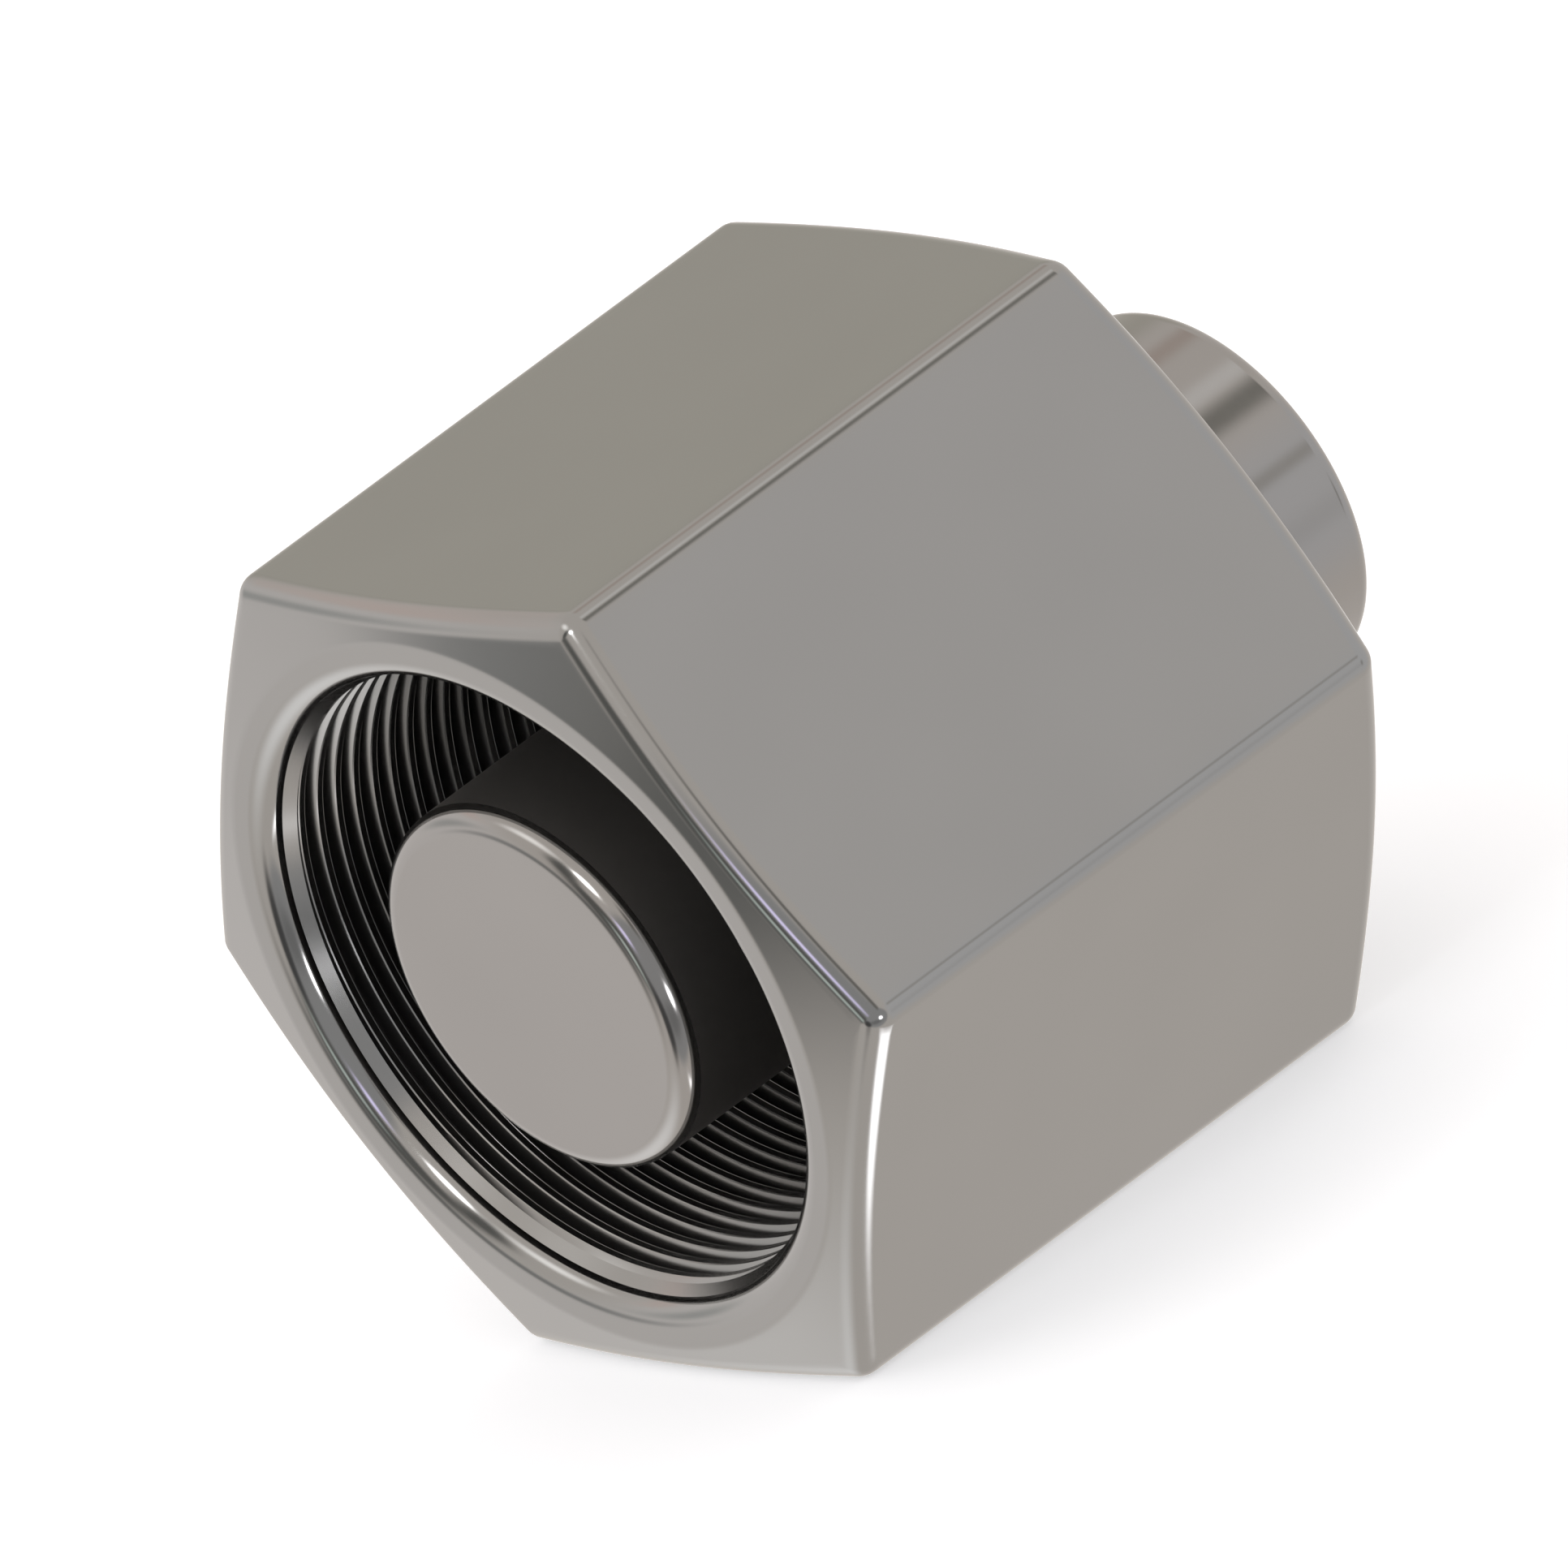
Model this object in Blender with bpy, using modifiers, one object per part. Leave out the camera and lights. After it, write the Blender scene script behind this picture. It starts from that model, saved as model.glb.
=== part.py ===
"""Blanking plug for a pipe end with an outside thread: a long hexagonal union nut, and in it a round
plug whose collar bears on a cone in the nut and carries a sealing ring.

Metres, +Z up. The common axis lies along Y, the nut's mouth faces -Y, and the nut rests on a flat.
Places along the axis are depths behind the mouth's plane."""

import math

import bpy

MM = 0.001

# Union nut
ACROSS_FLATS = 50.0 * MM
NUT_LENGTH = 44.2 * MM
END_FACE_RADIUS = 22.8 * MM  # flat ring that the chamfer leaves on each end
CHAMFER_ANGLE = math.radians(14.2)  # from the end face
EDGE_ROUNDING = 0.8 * MM  # from the sharp edge to where the rounding ends

# Bore of the nut, from the mouth to the back
MOUTH_ROUNDING = 1.2 * MM
COUNTERBORE_RADIUS = 20.8 * MM
COUNTERBORE_DEPTH = 1.8 * MM
THREAD_BORE_RADIUS = 20.19 * MM  # minor radius of a 42 mm thread with 1.5 mm pitch
THREAD_LEAD_IN = math.radians(20.0)  # from the end face
THREAD_END = 26.5 * MM
RELIEF_RADIUS = 21.4 * MM
RELIEF_END = 30.5 * MM
SEAT_ANGLE = math.radians(45.0)  # cone that the collar bears on, from the axis
BACK_BEVEL = 0.5 * MM

# Plug
BAR_RADIUS = 11.8 * MM
PIN_SET_BACK = 0.0 * MM  # the pin's face is level with the mouth
PIN_ROUNDING = 1.4 * MM
STUB_REACH = 13.1 * MM
STUB_ROUNDING = 1.2 * MM
COLLAR_RIM = 5.0 * MM  # length of the collar's cylindrical rim
COLLAR_BEVEL = 0.5 * MM
PIN_FOOT_FILLET = 0.6 * MM

# Sealing ring in the collar's face
SEAL_CORD = 2.65 * MM
SEAL_RADIUS = 15.8 * MM  # middle of the cord
GROOVE_DEPTH = 2.2 * MM

# Fits
STUB_CLEARANCE = 0.3 * MM
COLLAR_CLEARANCE = 0.34 * MM
SEAT_GAP = 0.3 * MM
SEAL_GAP = 0.3 * MM

# Fineness of the turned surfaces
STEPS = 72
ROUNDING_STEPS = 4
CORD_STEPS = 12
MERGE = 1e-6
CUTTER_OVERRUN = 2.0 * MM

HEX_SIDES = 6
CORNER_RADIUS = ACROSS_FLATS / 2 / math.cos(math.pi / HEX_SIDES)
OVERALL_LENGTH = NUT_LENGTH + STUB_REACH
COLLAR_RADIUS = THREAD_BORE_RADIUS - COLLAR_CLEARANCE
BACK_BORE_RADIUS = BAR_RADIUS + STUB_CLEARANCE
SEAT_SLOPE = math.tan(SEAT_ANGLE)


def seat_depth(radius, gap=0.0):
    """Depth at which the seat's cone has this radius, or a cone the gap in front of it."""
    return RELIEF_END + (RELIEF_RADIUS - radius) / SEAT_SLOPE - gap / math.sin(SEAT_ANGLE)


COLLAR_BACK = seat_depth(COLLAR_RADIUS, SEAT_GAP)
COLLAR_FACE = COLLAR_BACK - COLLAR_RIM
GROOVE_FLOOR = COLLAR_FACE + GROOVE_DEPTH
SEAL_DEPTH = GROOVE_FLOOR - SEAL_GAP - SEAL_CORD / 2


def arc(centre_radius, centre_depth, size, first, last):
    """Points of a round edge in the half section; angles in degrees from outward towards the back."""
    points = []
    for step in range(ROUNDING_STEPS + 1):
        angle = math.radians(first + (last - first) * step / ROUNDING_STEPS)
        points.append((centre_radius + size * math.cos(angle), centre_depth + size * math.sin(angle)))
    return points


def material(name, colour, roughness, metallic):
    made = bpy.data.materials.new(name)
    made.use_nodes = True
    shader = made.node_tree.nodes["Principled BSDF"]
    shader.inputs["Base Color"].default_value = (*colour, 1.0)
    shader.inputs["Roughness"].default_value = roughness
    shader.inputs["Metallic"].default_value = metallic
    return made


def turned(name, section, place, steps=STEPS, turn_from=0.0):
    """A solid turned about Y. The section's outer side runs from the back to the mouth."""
    mesh = bpy.data.meshes.new(name)
    points = [(radius, depth, 0.0) for radius, depth in section]
    edges = [(index, index + 1) for index in range(len(points) - 1)]
    mesh.from_pydata(points, edges, [])
    solid = bpy.data.objects.new(name, mesh)
    place["collection"].objects.link(solid)
    solid.parent = place["centre"]
    solid.rotation_euler.y = turn_from
    screw = solid.modifiers.new("turn", "SCREW")
    screw.axis = "Y"
    screw.steps = steps
    screw.render_steps = steps
    screw.use_merge_vertices = True
    screw.merge_threshold = MERGE
    return solid


def cut(solid, tool, operation):
    change = solid.modifiers.new(tool.name, "BOOLEAN")
    change.operation = operation
    change.solver = "EXACT"
    change.object = tool


def cutter(name, section, place, turn_from=0.0):
    tool = turned(name, section, place, turn_from=turn_from)
    tool.display_type = "WIRE"
    tool.hide_render = True
    return tool


def settle(solid, finish):
    """Applies the modifiers, shades the round surfaces smooth and gives the material."""
    bpy.context.view_layer.update()
    evaluated = solid.evaluated_get(bpy.context.evaluated_depsgraph_get())
    solid.data = bpy.data.meshes.new_from_object(evaluated)
    solid.data.name = solid.name
    solid.modifiers.clear()
    solid.data.shade_smooth()
    solid.data.set_sharp_from_angle(angle=math.radians(30))
    solid.data.materials.clear()
    solid.data.materials.append(finish)


def barrel_section():
    """Both chamfers of the nut as one turned barrel that is wider than the corners between them."""
    reach = CORNER_RADIUS + CUTTER_OVERRUN
    drop = (reach - END_FACE_RADIUS) * math.tan(CHAMFER_ANGLE)
    return [
        (0.0, NUT_LENGTH),
        (END_FACE_RADIUS, NUT_LENGTH),
        (reach, NUT_LENGTH - drop),
        (reach, drop),
        (END_FACE_RADIUS, 0.0),
        (0.0, 0.0),
    ]


def bore_section():
    """The nut's stepped bore: rounded mouth, counterbore, thread bore, relief, seat and back bore."""
    lead_in = (COUNTERBORE_RADIUS - THREAD_BORE_RADIUS) * math.tan(THREAD_LEAD_IN)
    relief_rise = RELIEF_RADIUS - THREAD_BORE_RADIUS
    mouth_radius = COUNTERBORE_RADIUS + MOUTH_ROUNDING
    outline = [(0.0, -CUTTER_OVERRUN), (mouth_radius, -CUTTER_OVERRUN)]
    outline += arc(mouth_radius, MOUTH_ROUNDING, MOUTH_ROUNDING, -90, -180)
    outline += [
        (COUNTERBORE_RADIUS, COUNTERBORE_DEPTH),
        (THREAD_BORE_RADIUS, COUNTERBORE_DEPTH + lead_in),
        (THREAD_BORE_RADIUS, THREAD_END),
        (RELIEF_RADIUS, THREAD_END + relief_rise),
        (RELIEF_RADIUS, RELIEF_END),
        (BACK_BORE_RADIUS, seat_depth(BACK_BORE_RADIUS)),
        (BACK_BORE_RADIUS, NUT_LENGTH - BACK_BEVEL),
        (BACK_BORE_RADIUS + BACK_BEVEL + CUTTER_OVERRUN, NUT_LENGTH + CUTTER_OVERRUN),
        (0.0, NUT_LENGTH + CUTTER_OVERRUN),
    ]
    return outline[::-1]


def plug_section():
    """Stub, cone and rim of the collar, groove for the ring, and the pin."""
    groove_inner = SEAL_RADIUS - SEAL_CORD / 2 - SEAL_GAP
    groove_outer = SEAL_RADIUS + SEAL_CORD / 2 + SEAL_GAP
    foot = PIN_FOOT_FILLET
    outline = [(0.0, OVERALL_LENGTH)]
    outline += arc(BAR_RADIUS - STUB_ROUNDING, OVERALL_LENGTH - STUB_ROUNDING, STUB_ROUNDING, 90, 0)
    outline += [
        (BAR_RADIUS, seat_depth(BAR_RADIUS, SEAT_GAP)),
        (COLLAR_RADIUS, COLLAR_BACK),
        (COLLAR_RADIUS, COLLAR_FACE + COLLAR_BEVEL),
        (COLLAR_RADIUS - COLLAR_BEVEL, COLLAR_FACE),
        (groove_outer, COLLAR_FACE),
        (groove_outer, GROOVE_FLOOR),
        (groove_inner, GROOVE_FLOOR),
        (groove_inner, COLLAR_FACE),
    ]
    outline += arc(BAR_RADIUS + foot, COLLAR_FACE - foot, foot, 90, 180)
    outline += arc(BAR_RADIUS - PIN_ROUNDING, PIN_SET_BACK + PIN_ROUNDING, PIN_ROUNDING, 0, -90)
    outline.append((0.0, PIN_SET_BACK))
    return outline


def union_nut(parts, tools, finish):
    """A hexagonal bar with turned ends, rounded edges and the stepped bore."""
    prism = [(0.0, NUT_LENGTH), (CORNER_RADIUS, NUT_LENGTH), (CORNER_RADIUS, 0.0), (0.0, 0.0)]
    nut = turned("union_nut", prism, parts, steps=HEX_SIDES)
    # The barrel is turned by half a facet, so that each corner of the hexagon meets a whole facet.
    barrel = cutter("chamfer_barrel", barrel_section(), tools, turn_from=math.pi / STEPS)
    cut(nut, barrel, "INTERSECT")
    rounding = nut.modifiers.new("rounded edges", "BEVEL")
    rounding.width = EDGE_ROUNDING
    rounding.segments = 3
    rounding.limit_method = "ANGLE"
    rounding.angle_limit = math.radians(40)
    cut(nut, cutter("bore_tool", bore_section(), tools), "DIFFERENCE")
    settle(nut, finish)


def plug_pin(parts, finish):
    settle(turned("plug_pin", plug_section(), parts), finish)


def sealing_ring(parts, finish):
    bpy.ops.mesh.primitive_torus_add(
        major_radius=SEAL_RADIUS,
        minor_radius=SEAL_CORD / 2,
        major_segments=STEPS,
        minor_segments=CORD_STEPS,
        rotation=(math.pi / 2, 0.0, 0.0),
    )
    ring = bpy.context.object
    ring.name = "sealing_ring"
    for collection in ring.users_collection:
        collection.objects.unlink(ring)
    parts["collection"].objects.link(ring)
    ring.parent = parts["centre"]
    ring.location = (0.0, SEAL_DEPTH, 0.0)
    settle(ring, finish)


def group(name, centre):
    collection = bpy.data.collections.new(name)
    bpy.context.scene.collection.children.link(collection)
    return {"collection": collection, "centre": centre}


def main():
    for old in list(bpy.data.objects):
        bpy.data.objects.remove(old, do_unlink=True)
    mouth_centre = bpy.data.objects.new("mouth_centre", None)
    mouth_centre.location = (0.0, -OVERALL_LENGTH / 2, ACROSS_FLATS / 2)
    parts = group("threaded_plug", mouth_centre)
    tools = group("cutters", mouth_centre)
    parts["collection"].objects.link(mouth_centre)
    nut_steel = material("nut_steel", (0.33, 0.32, 0.30), 0.34, 1.0)
    plug_steel = material("plug_steel", (0.36, 0.34, 0.32), 0.3, 1.0)
    seal_rubber = material("seal_rubber", (0.015, 0.015, 0.016), 0.55, 0.0)
    union_nut(parts, tools, nut_steel)
    plug_pin(parts, plug_steel)
    sealing_ring(parts, seal_rubber)


main()
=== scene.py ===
"""Looks of the threaded plug: a turned steel union nut with a fine inner thread, the round plug that
turns in it, and the sealing ring in the plug's collar, on a pale floor in soft studio light.

Lengths are in millimetres until a mesh is made. A place along the common axis is a depth behind the
plane of the nut's mouth, and an angle round the axis is counted from +X towards +Z."""

import math
from collections import namedtuple

import bmesh
import bpy
import numpy as np
from mathutils import Matrix, Vector


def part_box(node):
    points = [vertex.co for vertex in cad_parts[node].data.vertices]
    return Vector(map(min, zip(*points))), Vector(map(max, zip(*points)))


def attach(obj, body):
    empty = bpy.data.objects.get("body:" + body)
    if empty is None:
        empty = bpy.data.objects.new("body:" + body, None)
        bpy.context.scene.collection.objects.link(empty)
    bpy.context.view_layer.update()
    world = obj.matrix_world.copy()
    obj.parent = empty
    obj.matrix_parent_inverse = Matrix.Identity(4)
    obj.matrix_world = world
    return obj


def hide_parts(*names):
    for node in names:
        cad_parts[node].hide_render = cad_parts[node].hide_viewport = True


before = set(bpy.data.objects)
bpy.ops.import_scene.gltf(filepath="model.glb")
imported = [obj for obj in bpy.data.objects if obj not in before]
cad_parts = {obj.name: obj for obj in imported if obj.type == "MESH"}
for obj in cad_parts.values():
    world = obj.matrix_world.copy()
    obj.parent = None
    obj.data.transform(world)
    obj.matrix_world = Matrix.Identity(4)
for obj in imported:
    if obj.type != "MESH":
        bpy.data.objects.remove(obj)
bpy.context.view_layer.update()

MM = 0.001

# Places and sizes that the frame gives
nut_low, nut_high = (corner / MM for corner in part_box("union_nut"))
plug_low, plug_high = (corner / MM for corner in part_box("plug_pin"))
seal_low, seal_high = (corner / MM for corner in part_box("sealing_ring"))
ACROSS_FLATS = nut_high.z - nut_low.z
NUT_LENGTH = nut_high.y - nut_low.y
PLUG_LENGTH = plug_high.y - plug_low.y
COLLAR_RADIUS = plug_high.x
SEAL_CORD = seal_high.y - seal_low.y
SEAL_RADIUS = seal_high.x - SEAL_CORD / 2
SEAL_DEPTH = (seal_low.y + seal_high.y) / 2 - nut_low.y
MOUTH = Vector((0.0, nut_low.y, nut_low.z + ACROSS_FLATS / 2))

# Nut, outside
HEX_SIDES = 6
END_FACE_RADIUS = 23.0
END_FACE_BLEND = 2.0  # radius between the end face and the chamfer
CHAMFER_ANGLE = math.radians(14.0)
EDGE_RADIUS = 1.6

# Nut, inside
MOUTH_RADIUS = 21.92  # where the rounding leaves the end face
MOUTH_ROUNDING = 1.57
COUNTERBORE_RADIUS = 20.46
COUNTERBORE_END = 1.38
THREAD_START = 2.1  # end of the cone that leads from the counterbore into the thread
START_SLOPE = 1.7  # steepness of the first groove's front
PITCH = 1.5
THREAD_CREST = 20.0
THREAD_ROOT = 20.77
CREST_FLAT = 0.4
CREST_BREAK = 0.05
ROOT_FLAT = 0.2
THREAD_END = 26.5
RELIEF_RADIUS = 21.4
RELIEF_END = 30.5
SEAT_ANGLE = math.radians(45.0)
STUB_CLEARANCE = 0.3
BACK_BEVEL = 0.5

# Plug
BAR_RADIUS = 11.8
PIN_ROUNDING = 1.4
STUB_ROUNDING = 1.2
SEAT_GAP = 0.3
COLLAR_RIM = 5.0
COLLAR_BEVEL = 0.5
PIN_FOOT_FILLET = 0.6
GROOVE_DEPTH = 2.2
SEAL_GAP = 0.3

# Finish
NUT_STEEL = (0.37, 0.367, 0.362)
PLUG_STEEL = (0.37, 0.36, 0.353)
RUBBER_DARK = (0.012, 0.012, 0.013)
RUBBER_LIGHT = (0.022, 0.022, 0.023)
RUBBER_ROUGHNESS = 0.5
OUTSIDE_ROUGHNESS = 0.12
THREAD_ROUGHNESS = 0.2
PIN_SIDE_ROUGHNESS = 0.4
ROUGHNESS_GRAIN = 0.02
TONE_SPREAD = 0.03
CLOUD_SCALE = 90.0
GRAIN_SCALE = 2500.0
RUBBER_GRAIN_SCALE = 1500.0
FINISH_MARGIN = 0.05  # by which a change of finish clears the surface that it takes in

# Fineness of the meshes
FLAT_STEPS = 36
CORNER_STEPS = 6
ROUNDING_STEPS = 8
TURNED_STEPS = 216
CORD_STEPS = 32
WELD = 1e-7

# Camera: parallel projection at the photo's angles, with the photo's lean
VIEW_AZIMUTH = math.radians(54.9)
VIEW_ELEVATION = math.radians(22.35)
VIEW_ROLL = math.radians(21.48)
VIEW_WIDTH = 88.5
VIEW_DISTANCE = 600.0
AIM_DEPTH = 0.441  # the picture's centre is given from this point of the axis
AIM_RIGHT = 13.98
AIM_UP = 11.745

# Floor
FLOOR_HALF_SIDE = 3000.0
FLOOR_COLOUR = (0.90, 0.92, 0.97)
FLOOR_LIFT = 0.4  # brings the lit floor up to the white ground behind it, for the camera only

# Studio: the surround's colour, and the soft elliptical cards and lamps laid over it in this order. A
# card's azimuth is counted from the mouth's side towards +X, and its angles are in degrees.
SURROUND = (0.85, 0.80, 0.75)
Card = namedtuple("Card", "azimuth elevation half_length half_width tilt soft_edge colour")
CARDS = (
    Card(-70, 5, 45, 62, 0, 0.5, (0.98, 0.94, 0.91)),  # pale wall on the left
    Card(-64, 16, 26, 14, 0, 0.9, (0.66, 0.66, 0.64)),  # dull panel on it
    Card(-128, 20, 28, 26, 0, 0.7, (0.66, 0.63, 0.56)),  # duller corner behind it
    Card(-84, 40, 36, 8, 0, 0.9, (0.98, 0.84, 0.78)),  # warm rail
    Card(-54, -52, 45, 28, 0, 0.9, (1.38, 1.37, 1.35)),  # bright foot of the wall
    Card(-21, 54, 25, 14, 0, 0.9, (1.9, 1.87, 1.82)),  # lit ceiling over it
    Card(-122, -19, 24, 11, 20, 0.9, (1.90, 1.88, 1.85)),  # lit strip far on the left
    Card(140, -5, 55, 55, 0, 0.5, (0.80, 0.795, 0.80)),  # greyer back, for the stub
    Card(156, 57, 10, 8, 0, 0.9, (1.08, 1.06, 1.03)),  # light stripe on the stub
    Card(140, 46, 14, 9, 90, 0.8, (0.34, 0.33, 0.30)),  # dark stripe beside it
    Card(123, 13, 9, 6, 0, 0.9, (0.56, 0.54, 0.51)),  # faint stripe
    Card(-148, 51, 10, 9, 0, 0.9, (0.70, 0.60, 0.54)),  # warm stripe at the stub's top
    Card(131, -14, 14, 9, 90, 0.9, (0.45, 0.44, 0.42)),  # faint stripe lower on the stub
    Card(54, -13, 56, 45, 0, 0.16, (0.50, 0.50, 0.50)),  # grey wall on the right
    Card(48, -29, 40, 14, 0, 0.8, (0.32, 0.32, 0.32)),  # dark skirting
    Card(-3, -1, 25, 24, 0, 0.5, (0.19, 0.19, 0.18)),  # dark doorway between the walls
    Card(-5, 28, 30, 11, 62, 0.7, (0.18, 0.18, 0.17)),  # and its leaning post
    Card(-40, -5, 18, 13, 0, 0.9, (0.45, 0.45, 0.44)),  # the doorway's shade on the left wall
    Card(-27, -12, 20, 17, 0, 0.9, (0.24, 0.24, 0.23)),  # darker part of that shade
    Card(11, -27, 21, 16, 90, 0.6, (0.12, 0.12, 0.12)),  # dark floor in the doorway
    Card(-2, -7, 13, 8, 90, 0.9, (1.00, 1.13, 1.06)),  # greenish window
    Card(23, 9, 9, 9, 0, 0.9, (1.9, 1.75, 2.5)),  # bluish window
    Card(73, 26, 16, 10, 90, 0.8, (0.26, 0.25, 0.23)),  # dark frame on the right wall's edge
    Card(71, -17, 9, 8, 0, 0.5, (7.0, 7.0, 7.2)),  # lamp on the right
    Card(24, 39, 10, 9, 0, 0.5, (7.0, 7.0, 7.0)),  # lamp above the mouth
    Card(104, -71.5, 29, 4.4, 0, 0.8, (4.5, 4.5, 4.6)),  # low strip lamp on the right
)


def seat_depth(radius, gap=0.0):
    """Depth at which the nut's conical seat has this radius, or a cone the gap in front of it."""
    return RELIEF_END + (RELIEF_RADIUS - radius) / math.tan(SEAT_ANGLE) - gap / math.sin(SEAT_ANGLE)


def arc(centre_radius, centre_depth, size, first, last, steps=ROUNDING_STEPS):
    """Points of a rounding in the half section, in degrees from outward towards the back."""
    angles = np.radians(np.linspace(first, last, steps + 1))
    return [(centre_radius + size * math.cos(a), centre_depth + size * math.sin(a)) for a in angles]


def mesh_piece(name, points, faces, finish, sharp=30.0):
    """A welded mesh from points in the mouth's frame, with smooth shading and sharp edges kept."""
    mesh = bpy.data.meshes.new(name)
    world = (np.asarray(points, float) + np.array(MOUTH)) * MM
    mesh.from_pydata(world.tolist(), [], faces)
    shape = bmesh.new()
    shape.from_mesh(mesh)
    bmesh.ops.remove_doubles(shape, verts=shape.verts, dist=WELD)
    bmesh.ops.dissolve_degenerate(shape, edges=shape.edges, dist=WELD)
    bmesh.ops.recalc_face_normals(shape, faces=shape.faces)
    shape.to_mesh(mesh)
    shape.free()
    mesh.shade_smooth()
    mesh.set_sharp_from_angle(angle=math.radians(sharp))
    mesh.materials.append(finish)
    piece = bpy.data.objects.new(name, mesh)
    bpy.context.scene.collection.objects.link(piece)
    weigh = piece.modifiers.new("face weights", "WEIGHTED_NORMAL")
    weigh.keep_sharp = True
    return piece


def grid_faces(rows, columns, start, closed):
    """Quads of a grid whose points are stored row by row; closed joins its last column to its first."""
    faces = []
    for row in range(rows - 1):
        for column in range(columns if closed else columns - 1):
            after = (column + 1) % columns
            low, high = start + row * columns, start + (row + 1) * columns
            faces.append((low + column, low + after, high + after, high + column))
    return faces


def ring(radius, depth, angles):
    """One circle of points about the axis, at the given angles."""
    depths = np.broadcast_to(depth, angles.shape)
    return np.stack([radius * np.cos(angles), depths, radius * np.sin(angles)], axis=1)


def turned(name, outline, finish, steps=TURNED_STEPS, closed=False):
    """A piece turned about the axis from (radius, depth) points; closed joins the last to the first."""
    angles = np.linspace(0, 2 * math.pi, steps, endpoint=False)
    section = outline + outline[:1] if closed else outline
    rows = [ring(radius, depth, angles) for radius, depth in section]
    return mesh_piece(name, np.concatenate(rows), grid_faces(len(rows), steps, 0, True), finish)


class Hexagon:
    """The nut's outer skin: a hexagonal prism between two cones, all edges rolled over by one ball.

    Each column is a place of the ball's centre and the direction in which it touches the side."""

    def __init__(self):
        inner = ACROSS_FLATS / 2 - EDGE_RADIUS
        half_side = inner * math.tan(math.pi / HEX_SIDES)
        centres, directions = [], []
        for side in range(HEX_SIDES):
            middle = math.pi / HEX_SIDES + side * 2 * math.pi / HEX_SIDES
            across = np.array([-math.sin(middle), math.cos(middle)])
            outward = np.array([math.cos(middle), math.sin(middle)])
            for step in range(FLAT_STEPS):
                along = half_side * (2 * step / FLAT_STEPS - 1)
                centres.append(inner * outward + along * across)
                directions.append(middle)
            for step in range(CORNER_STEPS):
                centres.append(inner * outward + half_side * across)
                directions.append(middle + step / CORNER_STEPS * 2 * math.pi / HEX_SIDES)
        self.centres = np.array(centres)
        self.side = np.stack([np.cos(directions), np.sin(directions)], axis=1)
        self.columns = len(centres)
        even_step = 2 * math.pi / self.columns
        self.even_angles = math.pi / HEX_SIDES + even_step * (np.arange(self.columns) - FLAT_STEPS / 2)
        self.centre_radius = np.linalg.norm(self.centres, axis=1)
        self.centre_angles = np.unwrap(np.arctan2(self.centres[:, 1], self.centres[:, 0]))
        slope = math.tan(CHAMFER_ANGLE)
        self.centre_depth = (self.centre_radius - END_FACE_RADIUS) * slope
        self.centre_depth += EDGE_RADIUS / math.cos(CHAMFER_ANGLE)

    def on_ball(self, directions):
        centres = np.stack([self.centres[:, 0], self.centre_depth, self.centres[:, 1]], axis=1)
        return centres + EDGE_RADIUS * directions

    def chamfer_rows(self, inner_radius, steps=8):
        """Rows on the cone, from a circle of evenly spaced points out to where the ball leaves it."""
        reach = self.centre_radius + EDGE_RADIUS * math.sin(CHAMFER_ANGLE)
        rows = []
        for share in np.linspace(0, 1, steps + 1)[1:]:
            radius = inner_radius + (reach - inner_radius) * share
            angle = self.even_angles + (self.centre_angles - self.even_angles) * share
            depth = (radius - END_FACE_RADIUS) * math.tan(CHAMFER_ANGLE)
            rows.append(np.stack([radius * np.cos(angle), depth, radius * np.sin(angle)], axis=1))
        return rows

    def rolled_rows(self, steps=ROUNDING_STEPS):
        """Rows over the rounded edge, from the cone to the side."""
        radial = math.sin(CHAMFER_ANGLE)
        cone = np.stack([
            radial * np.cos(self.centre_angles),
            np.full(self.columns, -math.cos(CHAMFER_ANGLE)),
            radial * np.sin(self.centre_angles),
        ], axis=1)
        side = np.stack([self.side[:, 0], np.zeros(self.columns), self.side[:, 1]], axis=1)
        between = np.arccos(np.clip((cone * side).sum(axis=1), -1, 1))[:, None]
        rows = []
        for share in np.linspace(0, 1, steps + 1)[1:]:
            turned_to = np.sin((1 - share) * between) * cone + np.sin(share * between) * side
            rows.append(self.on_ball(turned_to / np.sin(between)))
        return rows


def end_face_outline(inner_radius):
    """Flat ring of an end face and its blend into the chamfer, as (radius, depth) points."""
    reach = END_FACE_BLEND * math.tan(CHAMFER_ANGLE / 2)
    start = END_FACE_RADIUS - reach
    points = [(inner_radius, 0.0)] if inner_radius < start else []
    degrees = math.degrees(CHAMFER_ANGLE)
    return points + arc(start, END_FACE_BLEND, END_FACE_BLEND, -90, -90 + degrees, steps=6)


def thread_profile():
    """One pitch of the thread as (depth, radius): crest, flank, root, flank, with broken crest edges."""
    flank = (PITCH - CREST_FLAT - ROOT_FLAT) / 2
    break_depth = CREST_BREAK * flank / (THREAD_ROOT - THREAD_CREST)
    return [
        (0.0, THREAD_CREST),
        (CREST_FLAT, THREAD_CREST),
        (CREST_FLAT + CREST_BREAK + break_depth, THREAD_CREST + CREST_BREAK),
        (CREST_FLAT + flank, THREAD_ROOT),
        (CREST_FLAT + flank + ROOT_FLAT, THREAD_ROOT),
        (PITCH - CREST_BREAK - break_depth, THREAD_CREST + CREST_BREAK),
    ]


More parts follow.
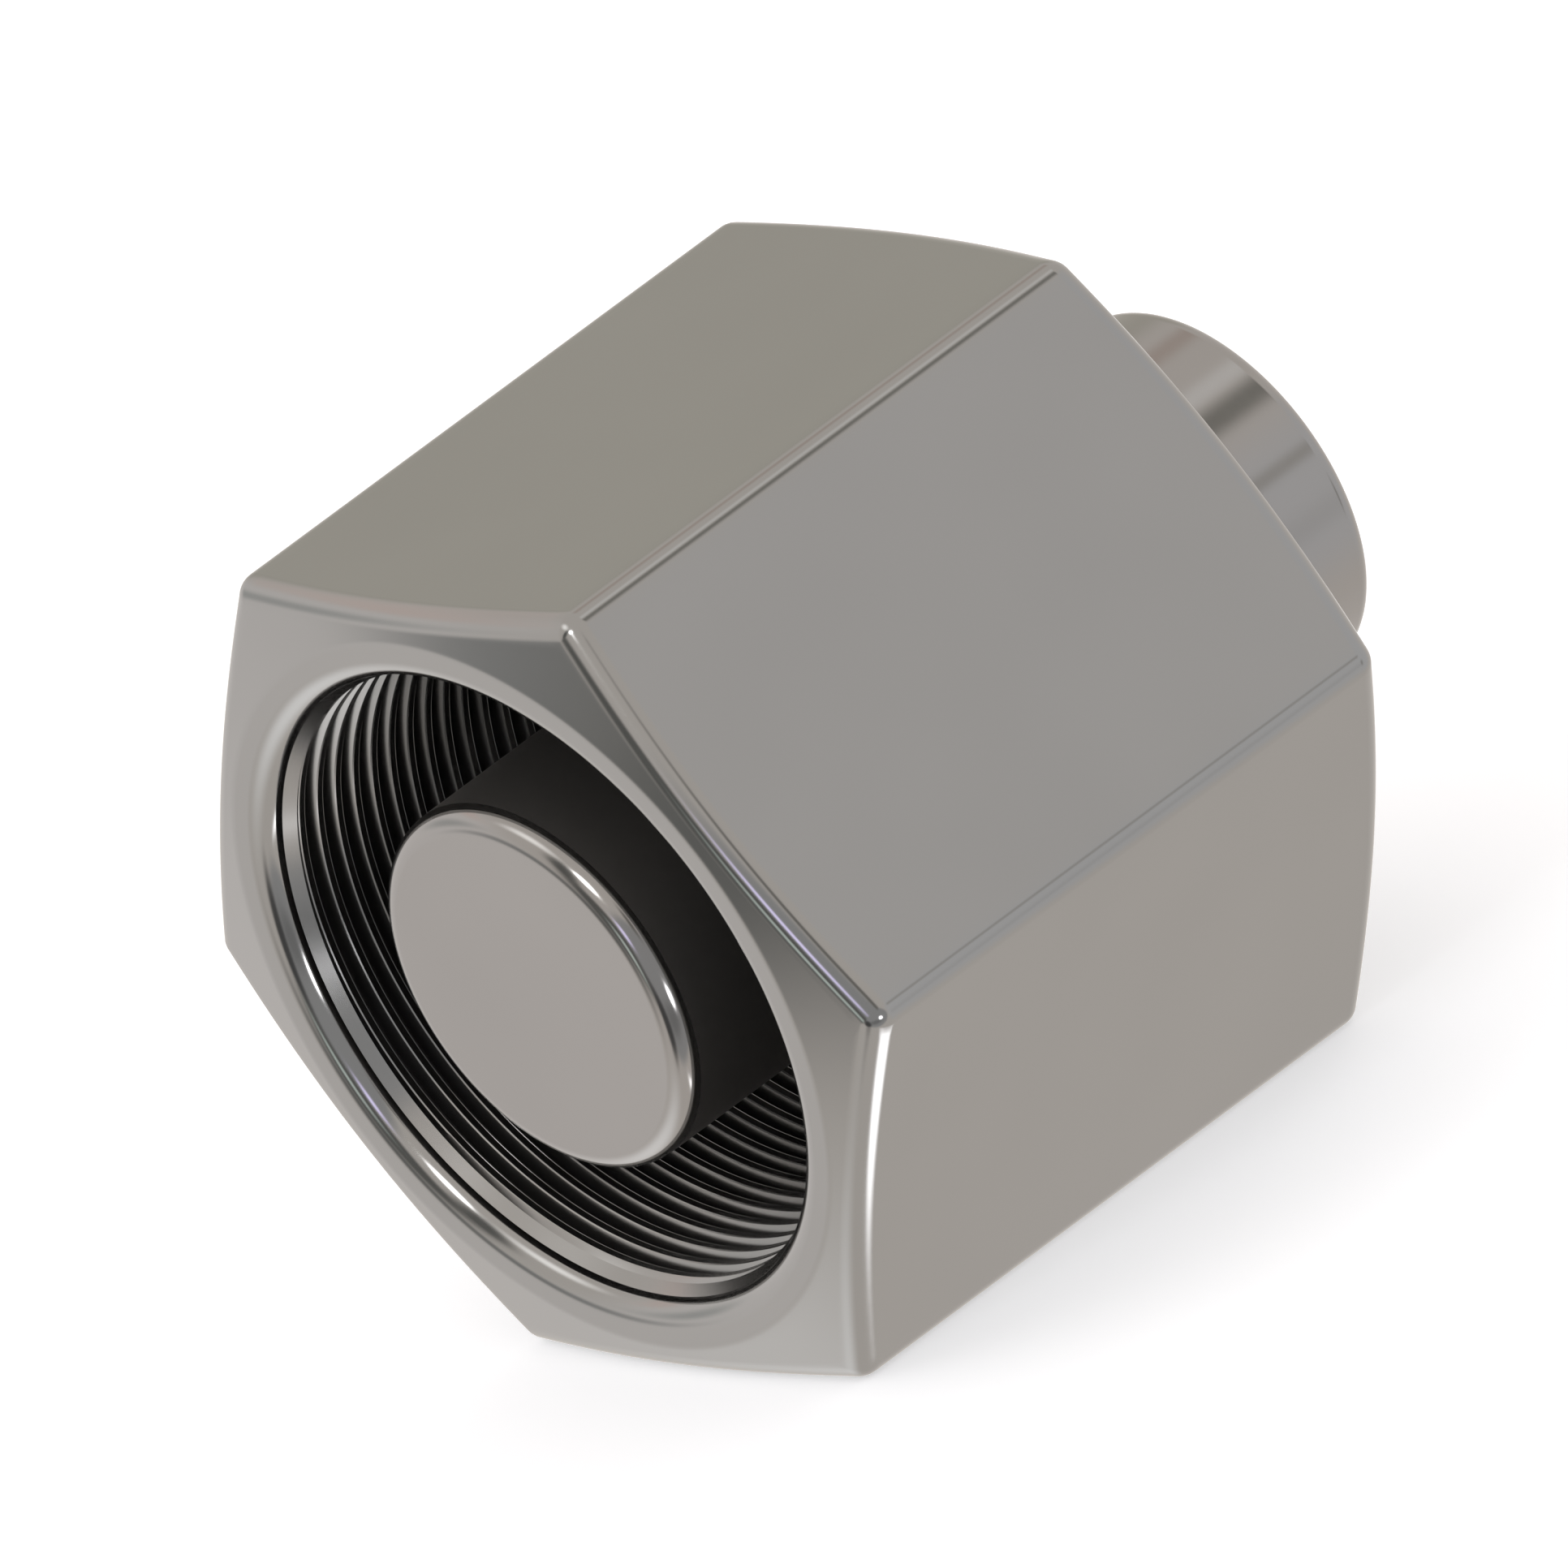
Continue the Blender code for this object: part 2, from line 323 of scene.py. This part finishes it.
class Thread:
    """A right-hand inner thread as a grid whose rows follow the helix between two planes."""

    PHASE = 0.2  # depth of a crest's start at the seam

    def __init__(self, angles):
        self.angles = np.append(angles, angles[0] + 2 * math.pi)
        self.climb = PITCH * (self.angles - angles[0]) / (2 * math.pi)
        first = -2
        last = int(THREAD_END / PITCH) + 2
        profile = thread_profile()
        turns = range(first, last)
        self.depths = np.array([turn * PITCH + depth for turn in turns for depth, _ in profile])
        self.radii = np.array([radius for _ in turns for _, radius in profile])
        self.depths += self.PHASE

    def radius_at(self, depth, climb):
        cut_in = THREAD_CREST + START_SLOPE * (depth - THREAD_START)
        return np.minimum(np.interp(depth - climb, self.depths, self.radii), cut_in)

    def rows(self):
        found = []
        for depth in self.depths:
            placed = np.clip(depth + self.climb, THREAD_START, THREAD_END)
            found.append(ring(self.radius_at(placed, self.climb), placed, self.angles))
        return found

    def edge_row(self, depth):
        """The thread's cut edge on a plane across the axis."""
        climb = self.climb[:-1]
        place = np.full_like(climb, depth)
        return ring(self.radius_at(place, climb), place, self.angles[:-1])


def union_nut(finish):
    """The whole nut as one closed skin: outside, both ends, and the stepped and threaded bore."""
    hexagon = Hexagon()
    angles = hexagon.even_angles
    thread = Thread(angles)

    def rings(outline):
        return [ring(radius, depth, angles) for radius, depth in outline]

    def to_back(rows):
        return [np.column_stack([row[:, 0], NUT_LENGTH - row[:, 1], row[:, 2]]) for row in rows[::-1]]

    chamfer_start = end_face_outline(0.0)[-1][0]
    back_bore = BAR_RADIUS + STUB_CLEARANCE
    outer_rows = hexagon.chamfer_rows(chamfer_start) + hexagon.rolled_rows()
    front = rings(end_face_outline(MOUTH_RADIUS)) + outer_rows
    back = rings(end_face_outline(back_bore + BACK_BEVEL)) + outer_rows
    inside_back = [
        (back_bore, NUT_LENGTH - BACK_BEVEL),
        (back_bore, seat_depth(back_bore)),
        (RELIEF_RADIUS, RELIEF_END),
        (RELIEF_RADIUS, THREAD_END + RELIEF_RADIUS - THREAD_CREST),
    ]
    bored_to = math.degrees(math.acos((COUNTERBORE_RADIUS - MOUTH_RADIUS) / MOUTH_ROUNDING))
    mouth = [(COUNTERBORE_RADIUS, COUNTERBORE_END)]
    mouth += arc(MOUTH_RADIUS, MOUTH_ROUNDING, MOUTH_ROUNDING, -bored_to, -90, steps=14)
    rows = front + to_back(back) + rings(inside_back) + [thread.edge_row(THREAD_END)]
    skin = [np.concatenate(rows)]
    faces = grid_faces(len(rows), hexagon.columns, 0, True)
    count = len(rows) * hexagon.columns
    grid = thread.rows()
    skin.append(np.concatenate(grid))
    faces += grid_faces(len(grid), hexagon.columns + 1, count, False)
    count += len(grid) * (hexagon.columns + 1)
    rows = [thread.edge_row(THREAD_START)] + rings(mouth)
    skin.append(np.concatenate(rows))
    faces += grid_faces(len(rows), hexagon.columns, count, True)
    return mesh_piece("nut_skin", np.concatenate(skin), faces, finish)


def plug_outline():
    """The plug from the middle of its back end to the middle of the pin's face."""
    collar_back = seat_depth(COLLAR_RADIUS, SEAT_GAP)
    collar_face = collar_back - COLLAR_RIM
    groove_floor = collar_face + GROOVE_DEPTH
    groove_inner = SEAL_RADIUS - SEAL_CORD / 2 - SEAL_GAP
    groove_outer = SEAL_RADIUS + SEAL_CORD / 2 + SEAL_GAP
    foot = PIN_FOOT_FILLET
    outline = [(0.0, PLUG_LENGTH), (BAR_RADIUS * 0.4, PLUG_LENGTH)]
    outline += arc(BAR_RADIUS - STUB_ROUNDING, PLUG_LENGTH - STUB_ROUNDING, STUB_ROUNDING, 90, 0)
    outline += [
        (BAR_RADIUS, seat_depth(BAR_RADIUS, SEAT_GAP)),
        (COLLAR_RADIUS, collar_back),
        (COLLAR_RADIUS, collar_face + COLLAR_BEVEL),
        (COLLAR_RADIUS - COLLAR_BEVEL, collar_face),
        (groove_outer, collar_face),
        (groove_outer, groove_floor),
        (groove_inner, groove_floor),
        (groove_inner, collar_face),
    ]
    outline += arc(BAR_RADIUS + foot, collar_face - foot, foot, 90, 180)
    outline += arc(BAR_RADIUS - PIN_ROUNDING, PIN_ROUNDING, PIN_ROUNDING, 0, -90, steps=12)
    outline += [(BAR_RADIUS * 0.4, 0.0), (0.0, 0.0)]
    return outline


def sealing_ring(finish):
    outline = arc(SEAL_RADIUS, SEAL_DEPTH, SEAL_CORD / 2, 0, 360, steps=CORD_STEPS)[:-1]
    return turned("seal_cord", outline, finish, closed=True)


def new_material(name):
    made = bpy.data.materials.new(name)
    made.use_nodes = True
    return made, made.node_tree.nodes, made.node_tree.links


def inside_mask(nodes, links, place, radius, start):
    """1 on surfaces nearer the axis than the radius, from the start's depth to the nut's back."""
    shift = nodes.new("ShaderNodeVectorMath")
    shift.operation = "SUBTRACT"
    shift.inputs[1].default_value = MOUTH * MM
    links.new(place.outputs["Object"], shift.inputs[0])
    split = nodes.new("ShaderNodeSeparateXYZ")
    links.new(shift.outputs["Vector"], split.inputs["Vector"])
    across = nodes.new("ShaderNodeCombineXYZ")
    links.new(split.outputs["X"], across.inputs["X"])
    links.new(split.outputs["Z"], across.inputs["Z"])
    off_axis = nodes.new("ShaderNodeVectorMath")
    off_axis.operation = "LENGTH"
    links.new(across.outputs["Vector"], off_axis.inputs[0])
    tests = (
        ("LESS_THAN", off_axis.outputs["Value"], radius),
        ("GREATER_THAN", split.outputs["Y"], start),
        ("LESS_THAN", split.outputs["Y"], NUT_LENGTH),
    )
    mask = None
    for operation, value, limit in tests:
        test = nodes.new("ShaderNodeMath")
        test.operation = operation
        test.inputs[1].default_value = limit * MM
        links.new(value, test.inputs[0])
        if mask is None:
            mask = test.outputs["Value"]
            continue
        both = nodes.new("ShaderNodeMath")
        both.operation = "MULTIPLY"
        links.new(mask, both.inputs[0])
        links.new(test.outputs["Value"], both.inputs[1])
        mask = both.outputs["Value"]
    return mask


def steel(name, base, inside_radius, inside_start, inside_roughness):
    """Fine-turned steel: a faint cloudy tone, grain in the gloss, and another finish inside the nut."""
    made, nodes, links = new_material(name)
    shader = nodes["Principled BSDF"]
    shader.inputs["Metallic"].default_value = 1.0
    place = nodes.new("ShaderNodeTexCoord")
    cloud = nodes.new("ShaderNodeTexNoise")
    cloud.inputs["Scale"].default_value = CLOUD_SCALE
    cloud.inputs["Detail"].default_value = 1.0
    links.new(place.outputs["Object"], cloud.inputs["Vector"])
    tone = nodes.new("ShaderNodeMix")
    tone.data_type = "RGBA"
    tone.inputs["A"].default_value = (*[(1 - TONE_SPREAD) * c for c in base], 1.0)
    tone.inputs["B"].default_value = (*[(1 + TONE_SPREAD) * c for c in base], 1.0)
    links.new(cloud.outputs["Fac"], tone.inputs["Factor"])
    links.new(tone.outputs["Result"], shader.inputs["Base Color"])
    grain = nodes.new("ShaderNodeTexNoise")
    grain.inputs["Scale"].default_value = GRAIN_SCALE
    grain.inputs["Detail"].default_value = 0.0
    links.new(place.outputs["Object"], grain.inputs["Vector"])
    finish = nodes.new("ShaderNodeMix")
    finish.inputs["A"].default_value = OUTSIDE_ROUGHNESS
    finish.inputs["B"].default_value = inside_roughness
    links.new(inside_mask(nodes, links, place, inside_radius, inside_start), finish.inputs["Factor"])
    gloss = nodes.new("ShaderNodeMath")
    gloss.operation = "MULTIPLY_ADD"
    gloss.inputs[1].default_value = ROUGHNESS_GRAIN
    links.new(grain.outputs["Fac"], gloss.inputs[0])
    links.new(finish.outputs["Result"], gloss.inputs[2])
    links.new(gloss.outputs["Value"], shader.inputs["Roughness"])
    return made


def rubber():
    """Black moulded rubber with a fine grain."""
    made, nodes, links = new_material("seal_rubber_finish")
    shader = nodes["Principled BSDF"]
    place = nodes.new("ShaderNodeTexCoord")
    grain = nodes.new("ShaderNodeTexNoise")
    grain.inputs["Scale"].default_value = RUBBER_GRAIN_SCALE
    links.new(place.outputs["Object"], grain.inputs["Vector"])
    tone = nodes.new("ShaderNodeMix")
    tone.data_type = "RGBA"
    tone.inputs["A"].default_value = (*RUBBER_DARK, 1.0)
    tone.inputs["B"].default_value = (*RUBBER_LIGHT, 1.0)
    links.new(grain.outputs["Fac"], tone.inputs["Factor"])
    links.new(tone.outputs["Result"], shader.inputs["Base Color"])
    shader.inputs["Roughness"].default_value = RUBBER_ROUGHNESS
    return made


def camera():
    """Parallel camera at the photo's angles; its lean makes the nut's axis run as in the photo."""
    sin_a, cos_a = math.sin(VIEW_AZIMUTH), math.cos(VIEW_AZIMUTH)
    sin_e, cos_e = math.sin(VIEW_ELEVATION), math.cos(VIEW_ELEVATION)
    back = Vector((sin_a * cos_e, -cos_a * cos_e, sin_e))
    level = Vector((cos_a, sin_a, 0.0))
    upright = back.cross(level)
    right = level * math.cos(VIEW_ROLL) - upright * math.sin(VIEW_ROLL)
    up = back.cross(right)
    aim = MOUTH + Vector((0.0, AIM_DEPTH, 0.0)) + right * AIM_RIGHT + up * AIM_UP
    data = bpy.data.cameras.new("photo_view")
    data.type = "ORTHO"
    data.ortho_scale = VIEW_WIDTH * MM
    data.clip_start = 0.01
    data.clip_end = 10.0
    seen = bpy.data.objects.new("photo_view", data)
    seen.matrix_world = Matrix.Translation((aim + back * VIEW_DISTANCE) * MM) @ Matrix(
        (right, up, back)
    ).transposed().to_4x4()
    bpy.context.scene.collection.objects.link(seen)
    bpy.context.scene.camera = seen


def floor():
    mesh = bpy.data.meshes.new("floor")
    half = FLOOR_HALF_SIDE * MM
    corners = [(-half, -half, 0), (half, -half, 0), (half, half, 0), (-half, half, 0)]
    mesh.from_pydata(corners, [], [(0, 1, 2, 3)])
    made, nodes, links = new_material("floor_paint")
    paint = nodes["Principled BSDF"]
    paint.inputs["Base Color"].default_value = (*FLOOR_COLOUR, 1.0)
    paint.inputs["Roughness"].default_value = 0.9
    paint.inputs["Specular IOR Level"].default_value = 0.0
    paint.inputs["Emission Color"].default_value = (1.0, 1.0, 1.0, 1.0)
    path = nodes.new("ShaderNodeLightPath")
    lift = nodes.new("ShaderNodeMath")
    lift.operation = "MULTIPLY"
    lift.inputs[1].default_value = FLOOR_LIFT
    links.new(path.outputs["Is Camera Ray"], lift.inputs[0])
    links.new(lift.outputs["Value"], paint.inputs["Emission Strength"])
    mesh.materials.append(made)
    ground = bpy.data.objects.new("floor", mesh)
    bpy.context.scene.collection.objects.link(ground)
    ground.visible_glossy = False  # the steel shows the studio below the floor


def lay_card(nodes, links, direction, below, card):
    """Lays one soft-edged elliptical card over the studio's colour, as seen in its direction."""
    azimuth, elevation = math.radians(card.azimuth), math.radians(card.elevation)
    towards = Vector((
        math.sin(azimuth) * math.cos(elevation),
        -math.cos(azimuth) * math.cos(elevation),
        math.sin(elevation),
    ))
    level = Vector((0.0, 0.0, 1.0)).cross(towards).normalized()
    along = Matrix.Rotation(math.radians(card.tilt), 3, towards) @ level
    turn = Matrix((along, towards.cross(along), towards)).transposed()
    place = nodes.new("ShaderNodeMapping")
    place.vector_type = "TEXTURE"
    place.inputs["Location"].default_value = towards
    place.inputs["Rotation"].default_value = turn.to_euler()
    half_sizes = (math.sin(math.radians(card.half_length)), math.sin(math.radians(card.half_width)))
    place.inputs["Scale"].default_value = (*half_sizes, 1.0)
    links.new(direction, place.inputs["Vector"])
    falloff = nodes.new("ShaderNodeTexGradient")
    falloff.gradient_type = "SPHERICAL"
    links.new(place.outputs["Vector"], falloff.inputs["Vector"])
    edge = nodes.new("ShaderNodeMapRange")
    edge.interpolation_type = "SMOOTHSTEP"
    edge.inputs["From Max"].default_value = card.soft_edge
    links.new(falloff.outputs["Fac"], edge.inputs["Value"])
    laid = nodes.new("ShaderNodeMix")
    laid.data_type = "RGBA"
    laid.inputs["B"].default_value = (*card.colour, 1.0)
    links.new(edge.outputs["Result"], laid.inputs["Factor"])
    if below is None:
        laid.inputs["A"].default_value = (*SURROUND, 1.0)
    else:
        links.new(below, laid.inputs["A"])
    return laid.outputs["Result"]


def studio():
    """A pale surround with soft cards and lamps in it for the steel to show, and white behind it all."""
    world = bpy.data.worlds.new("studio")
    bpy.context.scene.world = world
    world.use_nodes = True
    nodes, links = world.node_tree.nodes, world.node_tree.links
    direction = nodes.new("ShaderNodeTexCoord").outputs["Generated"]
    colour = None
    for card in CARDS:
        colour = lay_card(nodes, links, direction, colour, card)
    surround = nodes["Background"]
    links.new(colour, surround.inputs["Color"])
    white = nodes.new("ShaderNodeBackground")
    white.inputs["Color"].default_value = (1.0, 1.0, 1.0, 1.0)
    path = nodes.new("ShaderNodeLightPath")
    choice = nodes.new("ShaderNodeMixShader")
    links.new(path.outputs["Is Camera Ray"], choice.inputs["Fac"])
    links.new(surround.outputs["Background"], choice.inputs[1])
    links.new(white.outputs["Background"], choice.inputs[2])
    links.new(choice.outputs["Shader"], nodes["World Output"].inputs["Surface"])


def dress(piece, node, body):
    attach(piece, body)
    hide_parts(node)


def main():
    bore = (RELIEF_RADIUS + FINISH_MARGIN, COUNTERBORE_END, THREAD_ROUGHNESS)
    nut_steel = steel("nut_steel_finish", NUT_STEEL, *bore)
    pin_side = (COLLAR_RADIUS + FINISH_MARGIN, PIN_ROUNDING, PIN_SIDE_ROUGHNESS)
    plug_steel = steel("plug_steel_finish", PLUG_STEEL, *pin_side)
    dress(union_nut(nut_steel), "union_nut", "nut")
    dress(turned("plug_bar", plug_outline(), plug_steel), "plug_pin", "plug")
    dress(sealing_ring(rubber()), "sealing_ring", "seal")
    floor()
    studio()
    camera()
    bpy.context.scene.view_settings.view_transform = "Standard"


main()
